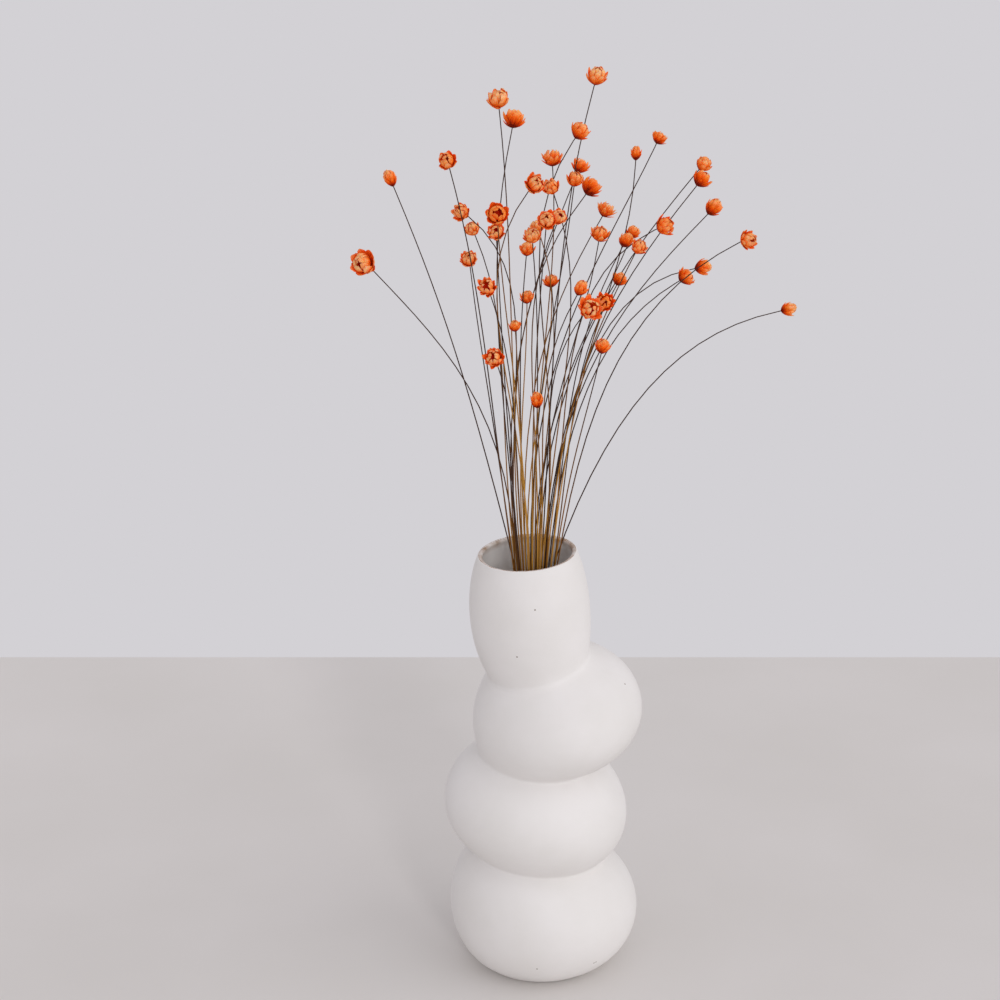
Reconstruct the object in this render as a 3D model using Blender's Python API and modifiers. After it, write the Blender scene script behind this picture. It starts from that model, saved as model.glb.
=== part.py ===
"""A vase of dried glixia: a slip-cast vase of four stacked pebble bulges, and 49 small papery
blooms on wiry stems that stand on its floor.

Units are metres, +Z is up and -Y is the front. The origin is the middle of the vase's foot, on
the surface that it stands on.
"""

import math
from collections import namedtuple

import bmesh
import bpy
from mathutils import Matrix, Vector

MM = 0.001

# The vase. A waist is a narrow ring of the wall: the foot, the three creases and the lip.
# Lean tips the ring up to the right, and nod tips it down to the front, both in degrees. A
# belly whose power is 1 has a ball's outline, and a smaller power makes it boxier.
Waist = namedtuple("Waist", "height across radius lean nod")
Belly = namedtuple("Belly", "across radius power")
WAISTS = (
    Waist(0.0 * MM, 1.0 * MM, 35.5 * MM, 0.0, 0.0),
    Waist(68.0 * MM, 0.0 * MM, 37.0 * MM, -3.5, -1.0),
    Waist(128.5 * MM, -1.5 * MM, 33.0 * MM, -4.5, 4.0),
    Waist(185.0 * MM, -1.0 * MM, 29.0 * MM, 13.2, 6.5),
    Waist(250.5 * MM, -7.5 * MM, 27.4 * MM, 4.0, -0.5),
)
BELLIES = (
    Belly(3.0 * MM, 54.5 * MM, 0.72),
    Belly(-2.0 * MM, 52.5 * MM, 1.0),
    Belly(10.0 * MM, 48.0 * MM, 1.0),
    Belly(-5.8 * MM, 33.8 * MM, 1.0),
)
WALL = 3.0 * MM
LIP_ROUND = 1.2 * MM
CREASE_ROUND = 3.0 * MM
RING_SIDES = 26
RINGS_A_BULGE = 5

# Where the eye of the 1000 x 1000 reference picture stands, and how it looks. It faces +Y.
EYE = Vector((-22.5 * MM, -1079.0 * MM, 653.0 * MM))
LOOK_DOWN = math.radians(19.0)
PICTURE_MIDDLE = 500.0
PIXELS_FOCAL = 2083.0

# One row a bloom. px and py are the middle of the head in the reference picture, and depth is
# how far it stands behind (+) or in front of (-) the vase's middle, in millimetres. Width is in
# millimetres too. Opening runs from 0, a bud, to 1, spread wide. Tilt leans the head to the
# right (+) or left (-), and facing leans it to the front (+) or back (-), in degrees. Bow pushes
# the stem sideways, in millimetres.
Bloom = namedtuple("Bloom", "px py depth width opening tilt facing bow", defaults=(0,))
BLOOMS = (
    Bloom(597, 76, 25, 10.1, 0.50, 14, 16),
    Bloom(498, 99, -5, 10.4, 0.50, -6, 28),
    Bloom(514, 119, 40, 10.6, 0.60, 12, -30),
    Bloom(580, 131, 5, 9.7, 0.60, 34, -5, 14),
    Bloom(552, 158, 36, 10.6, 0.85, -4, -4),
    Bloom(580, 166, 45, 9.7, 0.90, 22, -15),
    Bloom(575, 179, 10, 7.8, 0.45, 6, 12),
    Bloom(591, 187, 40, 10.6, 0.60, 38, -25),
    Bloom(535, 184, -30, 9.5, 0.60, 36, 46),
    Bloom(551, 187, -20, 8.0, 0.60, -20, 38),
    Bloom(447, 161, -35, 8.2, 0.50, -14, 58),
    Bloom(390, 178, 10, 6.3, 0.05, -22, -5, -12),
    Bloom(461, 212, 5, 8.8, 0.60, -50, 48),
    Bloom(472, 229, 25, 7.9, 0.50, -22, 26),
    Bloom(497, 214, -50, 9.9, 0.75, -3, 70),
    Bloom(496, 232, -20, 8.3, 0.60, -3, 50),
    Bloom(559, 217, -40, 7.6, 0.50, 22, 56),
    Bloom(547, 220, -45, 8.6, 0.65, 4, 58),
    Bloom(537, 227, 17, 7.8, 0.70, -20, 0),
    Bloom(532, 236, -35, 8.3, 0.55, -5, 30),
    Bloom(527, 249, 15, 7.4, 0.45, 5, 8),
    Bloom(606, 210, 55, 9.7, 0.95, 30, -10),
    Bloom(600, 234, 10, 9.5, 0.70, 8, 10),
    Bloom(636, 153, 38, 5.0, 0.00, 2, -8),
    Bloom(659, 138, 50, 7.9, 0.80, 25, -12),
    Bloom(704, 164, 45, 8.1, 0.45, 38, 12),
    Bloom(702, 179, 15, 8.9, 0.50, 38, -6),
    Bloom(714, 207, 60, 8.2, 0.20, 44, -18),
    Bloom(665, 226, -20, 9.3, 0.50, 62, 28),
    Bloom(633, 232, 50, 7.4, 0.55, 22, -12),
    Bloom(626, 240, 20, 7.2, 0.35, 28, -15),
    Bloom(639, 247, -24, 7.6, 0.50, 25, 24),
    Bloom(748, 240, -30, 8.9, 0.60, 60, 48),
    Bloom(703, 267, 40, 8.0, 0.30, 80, -8),
    Bloom(686, 277, 16, 9.3, 0.70, 58, 2),
    Bloom(789, 309, 15, 6.6, 0.15, 78, -6, 18),
    Bloom(363, 263, -35, 12.2, 0.60, -40, 60, 8),
    Bloom(469, 259, 45, 8.8, 0.55, -6, 40),
    Bloom(487, 287, -45, 9.1, 0.65, -18, 56),
    Bloom(527, 297, 20, 7.3, 0.50, 0, -4),
    Bloom(551, 281, 22, 8.1, 0.70, -6, -8),
    Bloom(581, 288, -40, 6.4, 0.20, 28, -4),
    Bloom(590, 309, -55, 10.9, 0.80, 35, 58),
    Bloom(605, 302, -38, 8.7, 0.60, 14, 60),
    Bloom(620, 279, 30, 7.7, 0.50, 30, -18),
    Bloom(515, 326, -20, 5.9, 0.45, -4, 4),
    Bloom(494, 358, -60, 9.5, 0.60, -18, 64),
    Bloom(603, 346, -40, 7.3, 0.35, 12, 2),
    Bloom(537, 400, -25, 5.9, 0.05, -2, -4),
)
BRACTS_A_LAYER = 6
BRACT_THICK = 0.7 * MM
SOCKET_RADIUS = 0.9 * MM
GOLDEN_ANGLE = math.radians(137.5)

# The stems. They cross the mouth in rows from front to back, each row in order of how far its
# stems lean to the right. The stems of one place along the rows grow from one crown at the foot.
STEM_RADIUS = 0.35 * MM
STEM_TIP_SHARE = 0.86
STEM_ROWS = 5
STEMS_A_ROW = 10
MOUTH_MIDDLE = Vector((-3.5 * MM, 0.0, 245.0 * MM))
MOUTH_STEP = 2.5 * MM
MOUTH_ROW_STEP = 3.4 * MM
MOUTH_ROW_SHIFTS = (0.0 * MM, 1.0 * MM, -0.5 * MM, 0.5 * MM, -1.0 * MM)
MOUTH_STRAY = 0.45 * MM
FOCUS_BELOW_MOUTH = 92.0 * MM
FOOT_SPREAD = 2.0
CROWN_RADIUS = 2.1 * MM
CROWN_HEIGHT = 3.0 * MM
CROWN_ROW_STEP = 0.85 * MM
BOW_SHARE = 2.0
NECK = 2.5 * MM
NECK_FACING_SHARE = 0.2
SEAT_GAP = 0.3 * MM

# How far each end of a stem's bends reaches, as a share of the bend's length, and the bends'
# points.
FOOT_PULL = 0.4
MOUTH_PULL_DOWN = 0.3
MOUTH_PULL_UP = 0.48
NECK_PULL = 0.30
HELD_POINTS = 4
FREE_POINTS = 9


def new_collection(name):
    collection = bpy.data.collections.new(name)
    bpy.context.scene.collection.children.link(collection)
    return collection


def new_material(name, colour, roughness):
    """A Principled material. The colour is linear."""
    material = bpy.data.materials.new(name)
    material.diffuse_color = (*colour, 1.0)
    material.use_nodes = True
    shader = material.node_tree.nodes["Principled BSDF"]
    shader.inputs["Base Color"].default_value = (*colour, 1.0)
    shader.inputs["Roughness"].default_value = roughness
    shader.inputs["Metallic"].default_value = 0.0
    return material


def new_object(name, mesh, collection, material):
    thing = bpy.data.objects.new(name, mesh)
    collection.objects.link(thing)
    mesh.materials.append(material)
    mesh.shade_smooth()
    mesh.set_sharp_from_angle(angle=math.radians(60))
    return thing


def mix(low, high, share):
    return low + (high - low) * share


def skin_rings(name, rings, close_start, close_end):
    """A mesh through rings of points. A ring may have twice or half the points of the one before
    it, and a closed end is one flat face."""
    body = bmesh.new()
    grown = [[body.verts.new(point) for point in ring] for ring in rings]
    for low, high in zip(grown, grown[1:]):
        fewer, more = sorted((low, high), key=len)
        count = len(more)
        for i in range(count):
            j = (i + 1) % count
            a, b = fewer[i * len(fewer) // count], fewer[j * len(fewer) // count]
            corners = [more[i], more[j], b] if a is b else [more[i], more[j], b, a]
            if more is low:
                body.faces.new(corners)
            else:
                body.faces.new(corners[::-1])
    if close_start:
        body.faces.new(grown[0][::-1])
    if close_end:
        body.faces.new(grown[-1])
    mesh = bpy.data.meshes.new(name)
    body.to_mesh(mesh)
    body.free()
    return mesh


def wall_ring(centre, radius, lean, nod):
    """One ring of the vase's wall, tipped about its own centre."""
    tip = Matrix.Rotation(-math.radians(lean), 3, "Y") @ Matrix.Rotation(math.radians(nod), 3, "X")
    points = []
    for i in range(RING_SIDES):
        turn = math.tau * i / RING_SIDES
        points.append(centre + tip @ Vector((radius * math.cos(turn), radius * math.sin(turn), 0)))
    return points


def bulge_rings(low, high, belly):
    """The rings from one waist up to the next, without the last one. The wall between them is
    part of a ball squashed to fit, and its middle is pushed sideways to the belly's place."""
    start = -math.acos((low.radius / belly.radius) ** (1 / belly.power))
    end = math.acos((high.radius / belly.radius) ** (1 / belly.power))
    climb = math.sin(end) - math.sin(start)
    push = belly.across - mix(low.across, high.across, -math.sin(start) / climb)
    rings = []
    for k in range(RINGS_A_BULGE):
        turn = mix(start, end, k / RINGS_A_BULGE)
        share = (math.sin(turn) - math.sin(start)) / climb
        swell = 1 - (turn / (start if turn < 0 else end)) ** 2
        across = mix(low.across, high.across, share) + push * swell
        height = mix(low.height, high.height, share)
        rings.append(
            wall_ring(
                Vector((across, 0, height)),
                belly.radius * math.cos(turn) ** belly.power,
                mix(low.lean, high.lean, share),
                mix(low.nod, high.nod, share),
            )
        )
    return rings


def build_vase(collection, material):
    """The wall is one open skin from the foot to the lip, with its creases rounded, thickened
    inwards."""
    rings = []
    for low, high, belly in zip(WAISTS, WAISTS[1:], BELLIES):
        rings += bulge_rings(low, high, belly)
    lip = WAISTS[-1]
    rings.append(wall_ring(Vector((lip.across, 0, lip.height)), lip.radius, lip.lean, lip.nod))
    skin = skin_rings("vase", rings, close_start=True, close_end=False)
    weights = skin.attributes.new("bevel_weight_edge", "FLOAT", "EDGE")
    for edge in skin.edges:
        ring, other = (vertex // RING_SIDES for vertex in edge.vertices)
        if ring == other and ring % RINGS_A_BULGE == 0:
            weights.data[edge.index].value = 1.0
    vase = new_object("vase", skin, collection, material)
    creases = vase.modifiers.new("creases", "BEVEL")
    creases.width = CREASE_ROUND
    creases.segments = 2
    creases.limit_method = "WEIGHT"
    wall = vase.modifiers.new("wall", "SOLIDIFY")
    wall.thickness = WALL
    wall.offset = -1.0
    wall.use_even_offset = True
    lip_edge = vase.modifiers.new("lip", "BEVEL")
    lip_edge.width = LIP_ROUND
    lip_edge.segments = 2
    lip_edge.limit_method = "ANGLE"
    lip_edge.angle_limit = math.radians(65)
    return vase


def seen_at(px, py, depth):
    """The place at that depth which the reference picture shows at that pixel."""
    right = Vector((1, 0, 0))
    ahead = Vector((0, math.cos(LOOK_DOWN), -math.sin(LOOK_DOWN)))
    up = right.cross(ahead)
    ray = ahead * PIXELS_FOCAL + right * (px - PICTURE_MIDDLE) + up * (PICTURE_MIDDLE - py)
    return EYE + ray * ((depth - EYE.y) / ray.y)


def head_axis(bloom):
    """The way that a head points, from its stem to its tips."""
    tilt, facing = math.radians(bloom.tilt), math.radians(bloom.facing)
    flat = math.cos(facing)
    return Vector((math.sin(tilt) * flat, -math.sin(facing), math.cos(tilt) * flat))


def head_height(bloom):
    """A bud is longer than it is wide, and an open head is flatter."""
    return bloom.width * MM * mix(0.72, 1.45, (1 - bloom.opening) ** 2)


def head_base(bloom):
    return seen_at(bloom.px, bloom.py, bloom.depth * MM) - head_axis(bloom) * head_height(bloom) / 2


def ring_of(*turns):
    """A ring of points round +Z. The (radius, height) pairs given take turns, once a bract."""
    count = len(turns) * BRACTS_A_LAYER
    points = []
    for i in range(count):
        radius, height = turns[i % len(turns)]
        turn = math.tau * i / count
        points.append(Vector((radius * math.cos(turn), radius * math.sin(turn), height)))
    return points


def head_rings(bloom):
    """A head as rings round its own +Z: the flat seat, the cup, a crown of outer bracts, the
    groove behind them, a crown of inner bracts set between the outer ones, and the throat."""
    r, h, o = bloom.width * MM / 2, head_height(bloom), bloom.opening
    cup = (r * 0.52, h * 0.12)
    gap = (r * mix(0.78, 0.72, o), h * 0.40)
    shoulder = (r * mix(0.86, 0.97, o), h * 0.66)
    tip = (r * mix(0.50, 1.00, o), h * mix(0.90, 0.84, o))
    inner_gap = (r * mix(0.34, 0.46, o), h * 0.68)
    inner_tip = (r * mix(0.10, 0.44, o), h)
    groove = (max(r * mix(0.72, 0.66, o) - BRACT_THICK, inner_gap[0]), h * 0.52)
    throat = (inner_tip[0] * 0.5, h * 0.62)
    return [
        ring_of((SOCKET_RADIUS, 0.0)),
        ring_of(cup, cup),
        ring_of((r * 0.72, h * 0.33), (r * 0.90, h * 0.42)),
        ring_of(gap, shoulder, tip, shoulder),
        ring_of(groove, groove),
        ring_of(inner_tip, inner_gap),
        ring_of(throat),
    ]


def build_head(name, bloom, number, collection, material):
    """A head stands on its stem's end, turned about its axis by a step of the golden angle."""
    to_axis = head_axis(bloom).to_track_quat("Z", "Y").to_matrix().to_4x4()
    turn = Matrix.Rotation(GOLDEN_ANGLE * number, 4, "Z")
    skin = skin_rings(name, head_rings(bloom), close_start=True, close_end=True)
    head = new_object(name, skin, collection, material)
    head.matrix_world = Matrix.Translation(head_base(bloom)) @ to_axis @ turn
    return head


def bezier(a, b, c, d, share):
    rest = 1 - share
    return (
        a * rest**3 + b * (3 * rest**2 * share) + c * (3 * rest * share**2) + d * share**3
    )


def smooth_points(a, b, c, d, count):
    """Points along a Bezier bend, without its end."""
    return [bezier(a, b, c, d, k / count) for k in range(count)]


def mouth_spot(number, column, row):
    """A stem's place in the mouth, from the mouth's middle. Each row is shifted sideways, and
    each stem strays from its place in the row by less than the gap to its neighbour."""
    stray = MOUTH_STRAY * math.sin(GOLDEN_ANGLE * number)
    across = column.x + MOUTH_ROW_SHIFTS[row] + stray
    return Vector((across, (row - (STEM_ROWS - 1) / 2) * MOUTH_ROW_STEP, 0))


def stem_line(bloom, column, spot):
    """The points of one stem, given its crown's column and its place in the mouth. All stems
    lean out of the mouth as if from one focus below it, so they don't cross inside the vase, and
    each has one bend from there to a short neck in line with its head."""
    axis = head_axis(bloom)
    top = head_base(bloom) - axis * SEAT_GAP
    neck = top - axis * NECK
    along = head_axis(bloom._replace(facing=bloom.facing * NECK_FACING_SHARE))
    mouth = MOUTH_MIDDLE + spot
    foot = Vector((0, spot.y / MOUTH_ROW_STEP * CROWN_ROW_STEP, CROWN_HEIGHT / 2))
    foot += crown_foot(column)
    lean = spot / FOCUS_BELOW_MOUTH + Vector((0, 0, 1))
    below, reach = (mouth - foot).length, (neck - mouth).length
    after_foot = foot + Vector((0, 0, below * FOOT_PULL))
    before_mouth = mouth - lean * below * MOUTH_PULL_DOWN
    after_mouth = mouth + lean * reach * MOUTH_PULL_UP + Vector((bloom.bow * MM, 0, 0))
    before_neck = neck - along * reach * NECK_PULL
    held = smooth_points(foot, after_foot, before_mouth, mouth, HELD_POINTS)
    free = smooth_points(mouth, after_mouth, before_neck, neck, FREE_POINTS)
    return held + free + [neck, top]


def crown_foot(column):
    return Vector((column.x * FOOT_SPREAD, 0, WALL + SEAT_GAP))


def lean_out(bloom):
    """How far a bloom's stem leans out of the mouth to the right."""
    away = head_base(bloom) - MOUTH_MIDDLE
    return (away.x + BOW_SHARE * bloom.bow * MM) / away.z


def stem_places():
    """Each bloom's number with its stem's place: (number, place along its row, row)."""
    by_depth = sorted(range(len(BLOOMS)), key=lambda n: BLOOMS[n].depth)
    places = []
    for row in range(STEM_ROWS):
        members = by_depth[row * STEMS_A_ROW : (row + 1) * STEMS_A_ROW]
        members.sort(key=lambda n: lean_out(BLOOMS[n]))
        places += [(n, place, row) for place, n in enumerate(members)]
    return places


def stem_object(name, points, collection):
    """A stem as a mesh: a curve with a round section that thins towards the head."""
    curve = bpy.data.curves.new(name, "CURVE")
    curve.dimensions = "3D"
    curve.bevel_depth = STEM_RADIUS
    curve.bevel_resolution = 0
    curve.use_fill_caps = True
    spline = curve.splines.new("POLY")
    spline.points.add(len(points) - 1)
    for i, point in enumerate(points):
        spline.points[i].co = (*point, 1)
        spline.points[i].radius = mix(1, STEM_TIP_SHARE, i / (len(points) - 1))
    drawn = bpy.data.objects.new(name + "_curve", curve)
    collection.objects.link(drawn)
    graph = bpy.context.evaluated_depsgraph_get()
    mesh = bpy.data.meshes.new_from_object(drawn.evaluated_get(graph))
    bpy.data.objects.remove(drawn)
    shape = bmesh.new()
    shape.from_mesh(mesh)
    bmesh.ops.remove_doubles(shape, verts=shape.verts, dist=0.01 * MM)
    shape.to_mesh(mesh)
    shape.free()
    stem = bpy.data.objects.new(name, mesh)
    collection.objects.link(stem)
    return stem


def crown_mesh(name, foot):
    """The small crown that the stems of a bunch grow from."""
    shape = bmesh.new()
    bmesh.ops.create_cone(
        shape,
        cap_ends=True,
        segments=8,
        radius1=CROWN_RADIUS * 0.8,
        radius2=CROWN_RADIUS,
        depth=CROWN_HEIGHT,
        matrix=Matrix.Translation(foot + Vector((0, 0, CROWN_HEIGHT / 2))),
    )
    mesh = bpy.data.meshes.new(name)
    shape.to_mesh(mesh)
    shape.free()
    return mesh


def build_bunch(name, place, members, collection, loose, material):
    """The stems of one place along the rows, joined by their crown."""
    column = Vector(((place - (STEMS_A_ROW - 1) / 2) * MOUTH_STEP, 0, 0))
    bunch = new_object(name, crown_mesh(name, crown_foot(column)), collection, material)
    stems = []
    for number, row in members:
        line = stem_line(BLOOMS[number], column, mouth_spot(number, column, row))
        stems.append(stem_object(f"{name}_{row}", line, loose))
    join = bunch.modifiers.new("join", "BOOLEAN")
    join.operation = "UNION"
    join.operand_type = "COLLECTION"
    join.collection = loose
    graph = bpy.context.evaluated_depsgraph_get()
    whole = bpy.data.meshes.new_from_object(bunch.evaluated_get(graph))
    bunch.modifiers.clear()
    bunch.data = whole
    for stem in stems:
        bpy.data.objects.remove(stem)
    return bunch


def main():
    for thing in list(bpy.data.objects):
        bpy.data.objects.remove(thing)
    parts = new_collection("vase of dried glixia")
    loose = new_collection("stems before they are joined")
    bisque = new_material("white bisque", (0.80, 0.79, 0.77), 0.75)
    dyed = new_material("orange dyed bracts", (0.78, 0.20, 0.05), 0.6)
    straw = new_material("brown dried stem", (0.23, 0.12, 0.04), 0.6)

    build_vase(parts, bisque)
    for number, bloom in enumerate(BLOOMS, start=1):
        build_head(f"bloom_{number:02d}", bloom, number, parts, dyed)
    places = stem_places()
    for place in range(STEMS_A_ROW):
        members = [(number, row) for number, along, row in places if along == place]
        build_bunch(f"stems_{place + 1:02d}", place, members, parts, loose, straw)


main()
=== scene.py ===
# %% [markdown]
# # A vase of dried glixia
#
# A slip-cast vase of four stacked pebbles holds 49 dyed, dried blooms on wiry stems. The CAD
# model holds every piece in its plain form. It is loaded first, because each finer piece made
# here takes the place of one of its nodes and has to stay where that node is.

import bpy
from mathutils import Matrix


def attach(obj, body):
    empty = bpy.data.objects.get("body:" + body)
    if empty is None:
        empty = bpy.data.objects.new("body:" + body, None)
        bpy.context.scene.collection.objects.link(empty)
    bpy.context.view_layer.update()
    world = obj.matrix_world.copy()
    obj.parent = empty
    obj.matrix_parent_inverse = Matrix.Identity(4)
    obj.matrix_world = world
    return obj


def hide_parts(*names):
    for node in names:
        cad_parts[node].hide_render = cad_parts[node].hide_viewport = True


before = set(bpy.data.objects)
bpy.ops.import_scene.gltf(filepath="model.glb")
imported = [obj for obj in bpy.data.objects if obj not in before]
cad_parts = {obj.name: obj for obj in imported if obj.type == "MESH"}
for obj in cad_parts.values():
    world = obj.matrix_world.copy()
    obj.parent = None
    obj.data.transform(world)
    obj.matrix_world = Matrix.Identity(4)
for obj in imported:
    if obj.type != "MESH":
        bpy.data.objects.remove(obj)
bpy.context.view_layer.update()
print(len(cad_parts), "CAD nodes")

# %% [markdown]
# # The camera
#
# The reference picture was taken from 1.1 m in front of the vase and 0.65 m up, looking down at
# 19 degrees. A picture of 1000 pixels that sees as far as this one has a focal length of 2083
# pixels, which is a 75 mm lens on a 36 mm sensor. The same numbers place each bloom later on.

# %% Stand the camera where the picture was taken
import math

import bpy
from mathutils import Matrix, Vector

MM = 0.001
EYE = Vector((-22.5, -1079.0, 653.0)) * MM
LOOK_DOWN = math.radians(19.0)
PICTURE_MIDDLE = 500.0
PIXELS_FOCAL = 2083.0
SENSOR = 36.0

bpy.ops.object.camera_add(location=EYE, rotation=(math.radians(90) - LOOK_DOWN, 0, 0))
camera = bpy.context.object
camera.name = "camera"
camera.data.sensor_width = SENSOR
camera.data.lens = SENSOR * PIXELS_FOCAL / 1000
bpy.context.scene.camera = camera
print("lens", round(camera.data.lens, 1), "mm")

# %% [markdown]
# # Colours and shader nodes
#
# A hex colour as a screen shows it is in sRGB, and Blender's sockets are linear, so one function
# turns one into the other. A second one adds a shader node with its settings and its links,
# which keeps each material as short as a list of its layers.

# %% Turn a hex colour to linear, and add a shader node
def linear(hex_colour):
    """The linear red, green, blue and alpha of an sRGB colour such as #E8E4DE."""
    shares = [int(hex_colour[i : i + 2], 16) / 255 for i in (1, 3, 5)]
    bent = [s / 12.92 if s <= 0.04045 else ((s + 0.055) / 1.055) ** 2.4 for s in shares]
    return (*bent, 1.0)


def put(tree, kind, settings=None, inputs=None, stops=()):
    """Adds a node. An input is a value or another node's output, and a stop is a ramp's place
    and hex colour."""
    node = tree.nodes.new("ShaderNode" + kind)
    for name, value in (settings or {}).items():
        setattr(node, name, value)
    for name, value in (inputs or {}).items():
        if isinstance(value, bpy.types.NodeSocket):
            tree.links.new(value, node.inputs[name])
        else:
            node.inputs[name].default_value = value
    for number, (place, colour) in enumerate(stops):
        ramp = node.color_ramp.elements
        stop = ramp[number] if number < 2 else ramp.new(place)
        stop.position = place
        stop.color = linear(colour)
    return node


def new_material(name):
    """A material with an empty shader that reaches its output."""
    material = bpy.data.materials.new(name)
    material.use_nodes = True
    tree = material.node_tree
    return material, tree, tree.nodes["Principled BSDF"]


print("mid grey is", round(linear("#808080")[0], 3), "linear")

# %% [markdown]
# # The studio
#
# The floor is a pale table that ends behind the vase, where the picture has its line between
# table and wall. The wall is left to the background's colour, because a standing wall would
# hide the vase from behind. A low key light from the front gives the soft shadow that falls back
# and a little to the left. A broad fill from the right, like a large window, makes the right side
# of each pebble its brightest and leaves the left one in half shade.

# %% Lay the floor
TABLE_BACK = 436.0 * MM
TABLE_FRONT = -1400.0 * MM
TABLE_HALF = 1500.0 * MM

bpy.ops.object.select_all(action="DESELECT")
bpy.ops.mesh.primitive_plane_add(size=1, location=(0, (TABLE_BACK + TABLE_FRONT) / 2, 0))
floor = bpy.context.object
floor.name = "floor"
floor.scale = (2 * TABLE_HALF, TABLE_BACK - TABLE_FRONT, 1)
bpy.ops.object.transform_apply(location=True, rotation=True, scale=True)

painted, tree, shader = new_material("table painted matt white")
spot = put(tree, "TexCoord").outputs["Object"]
mottle = put(tree, "TexNoise", inputs={"Vector": spot, "Scale": 6.0, "Detail": 3.0})
tone = put(
    tree,
    "ValToRGB",
    inputs={"Fac": mottle.outputs["Fac"]},
    stops=((0.3, "#D9D5D1"), (0.7, "#DEDAD7")),
)
tree.links.new(tone.outputs["Color"], shader.inputs["Base Color"])
shader.inputs["Roughness"].default_value = 0.6
floor.data.materials.append(painted)
print("floor reaches", TABLE_BACK, "m behind the vase")

# %% Light it softly
world = bpy.data.worlds.new("soft room")
bpy.context.scene.world = world
world.use_nodes = True
sky = world.node_tree.nodes["Background"]
sky.inputs["Color"].default_value = linear("#D3D1D5")
sky.inputs["Strength"].default_value = 1.0


def add_sun(name, comes_from, strength, softness):
    """A distant light. Its softness is the angle that it fills in the sky, in degrees."""
    bpy.ops.object.light_add(type="SUN", location=comes_from * 1.5)
    sun = bpy.context.object
    sun.name = name
    sun.rotation_euler = comes_from.to_track_quat("Z", "Y").to_euler()
    sun.data.energy = strength
    sun.data.angle = math.radians(softness)
    print(name, "stands", round(math.degrees(math.asin(comes_from.normalized().z))), "degrees up")


add_sun("key", Vector((0.28, -0.91, 0.30)), 0.60, 9)
add_sun("fill", Vector((0.76, -0.35, 0.55)), 0.60, 60)
bpy.context.scene.view_settings.view_transform = "Standard"

# %% [markdown]
# # The vase's wall
#
# The real vase is slip-cast: clay slip is poured into a plaster mould and sets as an even wall.
# Its outline is four pebbles, each pushed off centre, with a tilted crease between them. A lathe
# spin would make it straight, so the wall is raised ring by ring from a circle instead, as a
# potter coils it: each new ring is extruded, moved, resized and tipped.

# %% The outline of the vase
from collections import namedtuple

Waist = namedtuple("Waist", "height across radius lean nod")
Belly = namedtuple("Belly", "across radius power")
WAISTS = (
    Waist(0.0 * MM, 1.0 * MM, 35.5 * MM, 0.0, 0.0),
    Waist(68.0 * MM, 0.0 * MM, 37.0 * MM, -3.5, -1.0),
    Waist(128.5 * MM, -1.5 * MM, 33.0 * MM, -4.5, 4.0),
    Waist(185.0 * MM, -1.0 * MM, 29.0 * MM, 13.2, 6.5),
    Waist(251.3 * MM, -7.5 * MM, 27.4 * MM, 4.0, 2.0),
)
BELLIES = (
    Belly(3.0 * MM, 54.5 * MM, 0.72),
    Belly(-2.0 * MM, 52.5 * MM, 1.0),
    Belly(10.0 * MM, 48.0 * MM, 1.0),
    Belly(-5.8 * MM, 33.8 * MM, 1.0),
)
RING_STEPS = 18
RING_SIDES = 96


def mix(low, high, share):
    return low + (high - low) * share


def pebble_rings(low, high, belly):
    """The rings from one waist up to the next, without the first one: part of a ball, squashed
    to fit, with its middle pushed sideways. A power under 1 makes it boxier. The steps next to a
    waist are double ones, which leaves room for its crease to be rounded."""
    start = -math.acos((low.radius / belly.radius) ** (1 / belly.power))
    end = math.acos((high.radius / belly.radius) ** (1 / belly.power))
    climb = math.sin(end) - math.sin(start)
    push = belly.across - mix(low.across, high.across, -math.sin(start) / climb)
    rings = []
    for k in (*range(2, RING_STEPS - 1), RING_STEPS):
        turn = mix(start, end, k / RING_STEPS)
        share = (math.sin(turn) - math.sin(start)) / climb
        swell = 1 - (turn / (start if turn < 0 else end)) ** 2
        rings.append(
            Waist(
                mix(low.height, high.height, share),
                mix(low.across, high.across, share) + push * swell,
                belly.radius * math.cos(turn) ** belly.power,
                mix(low.lean, high.lean, share),
                mix(low.nod, high.nod, share),
            )
        )
    return rings


RINGS = [WAISTS[0]]
for low, high, belly in zip(WAISTS, WAISTS[1:], BELLIES):
    RINGS += pebble_rings(low, high, belly)
print(len(RINGS), "rings")

# %% [markdown]
# # Working in edit mode
#
# Each shape below is made in edit mode: some vertices are picked by where they are, and an
# operator acts on them. With no window open, transform.rotate turns the other way and ignores
# the pivot, so one helper turns the selection about a given centre the way the numbers say.

# %% Pick vertices by place, and turn them about a centre
import bmesh


def new_shape(name, add, **settings):
    """Adds a primitive with nothing else selected, and opens it in edit mode."""
    bpy.ops.object.select_all(action="DESELECT")
    add(**settings)
    thing = bpy.context.object
    thing.name = name
    thing.data.name = name
    bpy.ops.object.mode_set(mode="EDIT")
    return thing


def pick(wanted):
    """Selects the vertices whose place passes the test, and the edges and faces between them."""
    bpy.ops.mesh.select_all(action="DESELECT")
    shape = bmesh.from_edit_mesh(bpy.context.object.data)
    for vertex in shape.verts:
        vertex.select = wanted(vertex.co)
    shape.select_flush(True)


def turn(angle, axis, centre):
    """Turns the selection by the right-hand rule about a line through the centre."""
    bpy.ops.transform.rotate(value=-angle, orient_axis=axis, center_override=centre)


def done(thing):
    """Leaves edit mode with the shape's place in its mesh."""
    bpy.ops.object.mode_set(mode="OBJECT")
    bpy.ops.object.transform_apply(location=True, rotation=True, scale=True)
    return thing


# %% Raise the wall ring by ring
def ring_centre(ring):
    return Vector((ring.across, 0, ring.height))


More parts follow.
